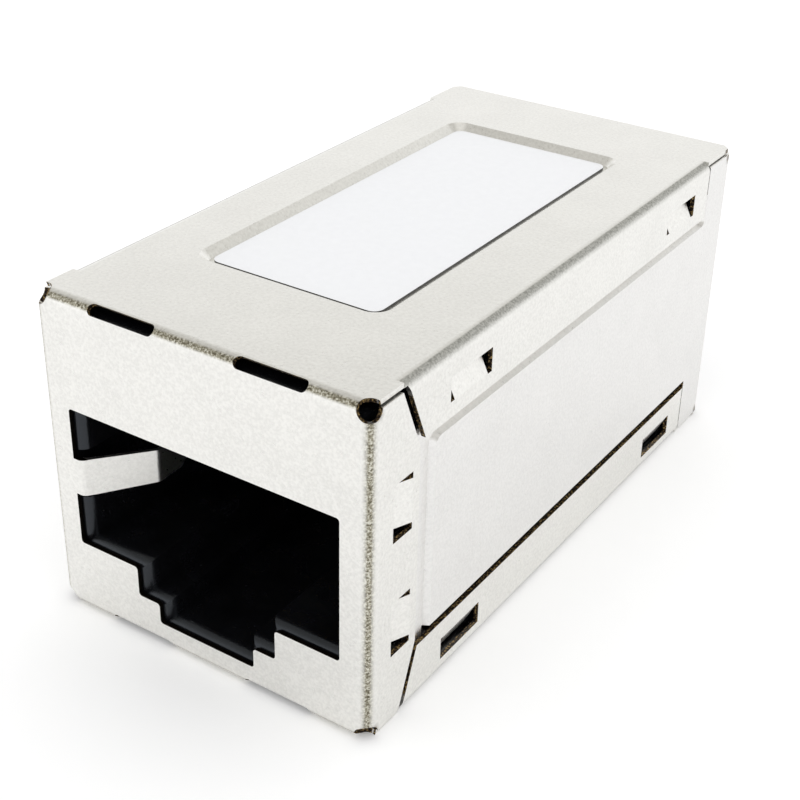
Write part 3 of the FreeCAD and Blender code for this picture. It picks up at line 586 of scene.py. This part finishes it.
def fill_solder_tree(tree):
    """The nodes of the tree, in the order of the list above."""
    given = put(tree, "NodeGroupInput").outputs
    last = sums(tree, "SUBTRACT", given["Contacts"], 1.0)
    start = sums(tree, "MULTIPLY", sums(tree, "MULTIPLY", last, -0.5), given["Pitch"])
    start_at = put(
        tree, "ShaderNodeCombineXYZ", links={"X": start, "Y": given["Face"], "Z": given["Upper Row"]}
    )
    step = put(tree, "ShaderNodeCombineXYZ", links={"X": given["Pitch"]})
    line = put(
        tree,
        "GeometryNodeMeshLine",
        links={
            "Count": given["Contacts"],
            "Start Location": start_at.outputs["Vector"],
            "Offset": step.outputs["Vector"],
        },
    )
    place = put(tree, "GeometryNodeInputIndex")
    odd = sums(tree, "MODULO", place.outputs["Index"], 2.0)
    drop = sums(tree, "MULTIPLY", sums(tree, "MULTIPLY", odd, given["Row Drop"]), -1.0)
    down = put(tree, "ShaderNodeCombineXYZ", links={"Z": drop})
    rows = put(
        tree,
        "GeometryNodeSetPosition",
        links={"Geometry": line.outputs["Mesh"], "Offset": down.outputs["Vector"]},
    )

    cone = put(
        tree,
        "GeometryNodeMeshCone",
        values={"Vertices": 28, "Side Segments": 6},
        links={
            "Radius Top": given["Tip"],
            "Radius Bottom": given["Foot"],
            "Depth": given["Height"],
        },
    )
    here = put(tree, "GeometryNodeInputPosition")
    parts = put(tree, "ShaderNodeSeparateXYZ", links={0: here.outputs["Position"]})
    rise = sums(tree, "DIVIDE", parts.outputs["Z"], given["Height"])
    drawn = sums(tree, "SINE", sums(tree, "MULTIPLY", rise, math.pi))
    squeeze = sums(tree, "MULTIPLY", sums(tree, "MULTIPLY", drawn, given["Waist"]), -1.0)
    aside = put(
        tree, "ShaderNodeCombineXYZ", links={"X": parts.outputs["X"], "Y": parts.outputs["Y"]}
    )
    inwards = put(
        tree,
        "ShaderNodeVectorMath",
        operation="SCALE",
        links={0: aside.outputs["Vector"], "Scale": squeeze},
    )
    waisted = put(
        tree,
        "GeometryNodeSetPosition",
        links={"Geometry": cone.outputs["Mesh"], "Offset": inwards.outputs["Vector"]},
    )

    swing = put(
        tree,
        "FunctionNodeRandomValue",
        data_type="FLOAT",
        values={"Min": 0.88, "Max": 1.06},
        links={"Seed": given["Seed"]},
    )
    beads = put(
        tree,
        "GeometryNodeInstanceOnPoints",
        values={"Rotation": (-math.pi / 2, 0.0, 0.0)},
        links={
            "Points": rows.outputs["Geometry"],
            "Instance": waisted.outputs["Geometry"],
            "Scale": swing.outputs["Value"],
        },
    )
    turned = put(
        tree,
        "GeometryNodeTransform",
        values={"Rotation": (0.0, 0.0, math.pi)},
        links={"Geometry": beads.outputs["Instances"]},
    )
    both = put(tree, "GeometryNodeJoinGeometry")
    for half in (beads.outputs["Instances"], turned.outputs["Geometry"]):
        tree.links.new(half, both.inputs["Geometry"])
    real = put(
        tree, "GeometryNodeRealizeInstances", links={"Geometry": both.outputs["Geometry"]}
    )
    dressed = put(
        tree,
        "GeometryNodeSetMaterial",
        links={"Geometry": real.outputs["Geometry"], "Material": given["Finish"]},
    )
    put(tree, "NodeGroupOutput", links={"Geometry": dressed.outputs["Geometry"]})


def grown(name, tree, finish, **fields):
    """A plain mesh object from a Geometry Nodes tree, its named inputs set on the modifier."""
    item = bpy.data.objects.new(name, bpy.data.meshes.new(name))
    bpy.context.scene.collection.objects.link(item)
    modifier = item.modifiers.new(name, "NODES")
    modifier.node_group = tree
    fields["Finish"] = finish
    for socket in tree.interface.items_tree:
        if socket.in_out == "INPUT" and socket.name in fields:
            modifier[socket.identifier] = fields[socket.name]
    item.update_tag()
    bpy.context.view_layer.update()
    graph = bpy.context.evaluated_depsgraph_get()
    mesh = bpy.data.meshes.new_from_object(item.evaluated_get(graph), depsgraph=graph)
    item.modifiers.remove(modifier)
    mesh.materials.clear()
    mesh.materials.append(finish)
    mesh.polygons.foreach_set("material_index", [0] * len(mesh.polygons))
    item.data = mesh
    mesh.name = name
    return item


cones = solder_tree()
fill_solder_tree(cones)
joints = grown("solder_joints", cones, tin_solder, Seed=3, Contacts=8)
for face in joints.data.polygons:
    face.use_smooth = abs(face.normal.y) < 0.98
joints.data.update()
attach(joints, "root")
print("solder:", len(joints.data.polygons), "faces,", joints.data.materials[0].name)

# %% [markdown]
# ## Floor, room and light
#
# The picture of such a part is taken in a white room: a white floor that runs up into a white
# background, and large soft lamps. The floor is a shadow-keeping white sheet, and everything
# that only the camera, a mirror or a glass sees of the room is plain white.
#
# The light on the object itself comes from the room's dim white and three soft lamps, low
# enough that a colour renders about as it is written.

# %% Floor
def floor_finish():
    """White diffuse sheet with a little glow, for the camera and for mirrors only."""
    finish, tree, output = new_finish("studio floor")
    path = put(tree, "ShaderNodeLightPath")
    cloth = put(tree, "ShaderNodeBsdfDiffuse", values={"Color": shade("FFFFFF")})
    shown = sums(tree, "MULTIPLY", path.outputs["Is Camera Ray"], 0.14)
    mirrored = sums(tree, "MULTIPLY", path.outputs["Is Glossy Ray"], 0.06)
    glow = put(
        tree,
        "ShaderNodeEmission",
        values={"Color": shade("FFFFFF")},
        links={"Strength": sums(tree, "ADD", shown, mirrored)},
    )
    lit = put(tree, "ShaderNodeAddShader", links={0: cloth.outputs[0], 1: glow.outputs[0]})
    tree.links.new(lit.outputs[0], output.inputs["Surface"])
    return finish


FLOOR_HALF = 1.2
corners = [(-1, -1), (1, -1), (1, 1), (-1, 1)]
floor_mesh = bpy.data.meshes.new("floor")
floor_mesh.from_pydata(
    [(x * FLOOR_HALF, y * FLOOR_HALF, low.z) for x, y in corners], [], [(0, 1, 2, 3)]
)
floor = bpy.data.objects.new("floor", floor_mesh)
bpy.context.scene.collection.objects.link(floor)
floor_mesh.materials.append(floor_finish())
print("floor at z =", round(low.z, 5))

# %% Room
world = bpy.data.worlds.new("white room")
bpy.context.scene.world = world
world.use_nodes = True
room = world.node_tree
room.nodes.clear()
path = put(room, "ShaderNodeLightPath")
way = put(room, "ShaderNodeTexCoord")
apart = put(room, "ShaderNodeSeparateXYZ", links={0: way.outputs["Generated"]})
ceiling = ramp(
    room,
    apart.outputs["Z"],
    [
        (0.34, shade("FFFFFF")),
        (0.43, shade("F8F8F7")),
        (0.57, shade("D2D1CC")),
        (0.8, shade("BDBBB6")),
    ],
)
dim = put(room, "ShaderNodeBackground", values={"Color": shade("FFFFFF"), "Strength": 0.90})
plain = put(room, "ShaderNodeBackground", values={"Color": shade("FFFFFF"), "Strength": 1.0})
graded = put(room, "ShaderNodeBackground", values={"Strength": 1.08}, links={"Color": ceiling})
mirrored = put(
    room,
    "ShaderNodeMixShader",
    links={0: path.outputs["Is Glossy Ray"], 1: dim.outputs[0], 2: graded.outputs[0]},
)
seen = sums(room, "MAXIMUM", path.outputs["Is Camera Ray"], path.outputs["Is Transmission Ray"])
sky = put(
    room, "ShaderNodeMixShader", links={0: seen, 1: mirrored.outputs[0], 2: plain.outputs[0]}
)
put(room, "ShaderNodeOutputWorld", links={"Surface": sky.outputs[0]})
print("room:", world.name)

# %% Lamps
def lamp(name, place, aim, width, watts):
    """A round soft lamp that looks at the aim."""
    light = bpy.data.lights.new(name, "AREA")
    light.shape = "DISK"
    light.size = width
    light.energy = watts
    item = bpy.data.objects.new(name, light)
    bpy.context.scene.collection.objects.link(item)
    item.location = place
    item.rotation_euler = (aim - Vector(place)).to_track_quat("-Z", "Y").to_euler()
    return item


middle = (low + high) / 2
lamp("overhead lamp", (0.03, -0.02, 0.30), middle, 0.30, 0.07)
lamp("left lamp", (-0.30, -0.22, 0.16), middle, 0.22, 0.04)
lamp("right lamp", (0.30, -0.10, 0.14), middle, 0.22, 0.04)

# %% [markdown]
# ## Camera
#
# The camera stands in front of the port, 33 degrees round towards the right-hand side, and
# looks down at 29 degrees. It is close, so the rear of the coupler is clearly smaller than
# the front. A touch of roll tips the picture as a hand-held one is.

# %% Set the camera
AROUND, ABOVE, TILT = 33.1, 29.0, -1.3
DISTANCE = 0.0682
AIM = Vector((-0.00058, -0.00068, 0.00705))
around, above = math.radians(AROUND), math.radians(ABOVE)
backwards = Vector(
    (math.sin(around) * math.cos(above), -math.cos(around) * math.cos(above), math.sin(above))
)
lens = bpy.data.cameras.new("camera")
lens.lens = 66.4
lens.sensor_width = 36.0
lens.shift_y = -0.0375
lens.clip_start = 0.001
lens.clip_end = 20.0
camera = bpy.data.objects.new("camera", lens)
bpy.context.scene.collection.objects.link(camera)
turn = (-backwards).to_track_quat("-Z", "Y").to_matrix().to_4x4()
roll = Matrix.Rotation(math.radians(-TILT), 4, "Z")
camera.matrix_world = Matrix.Translation(AIM + backwards * DISTANCE) @ turn @ roll
bpy.context.scene.camera = camera
bpy.context.scene.view_settings.view_transform = "Standard"
print("camera at", [round(v / MM, 1) for v in camera.matrix_world.translation], "mm")
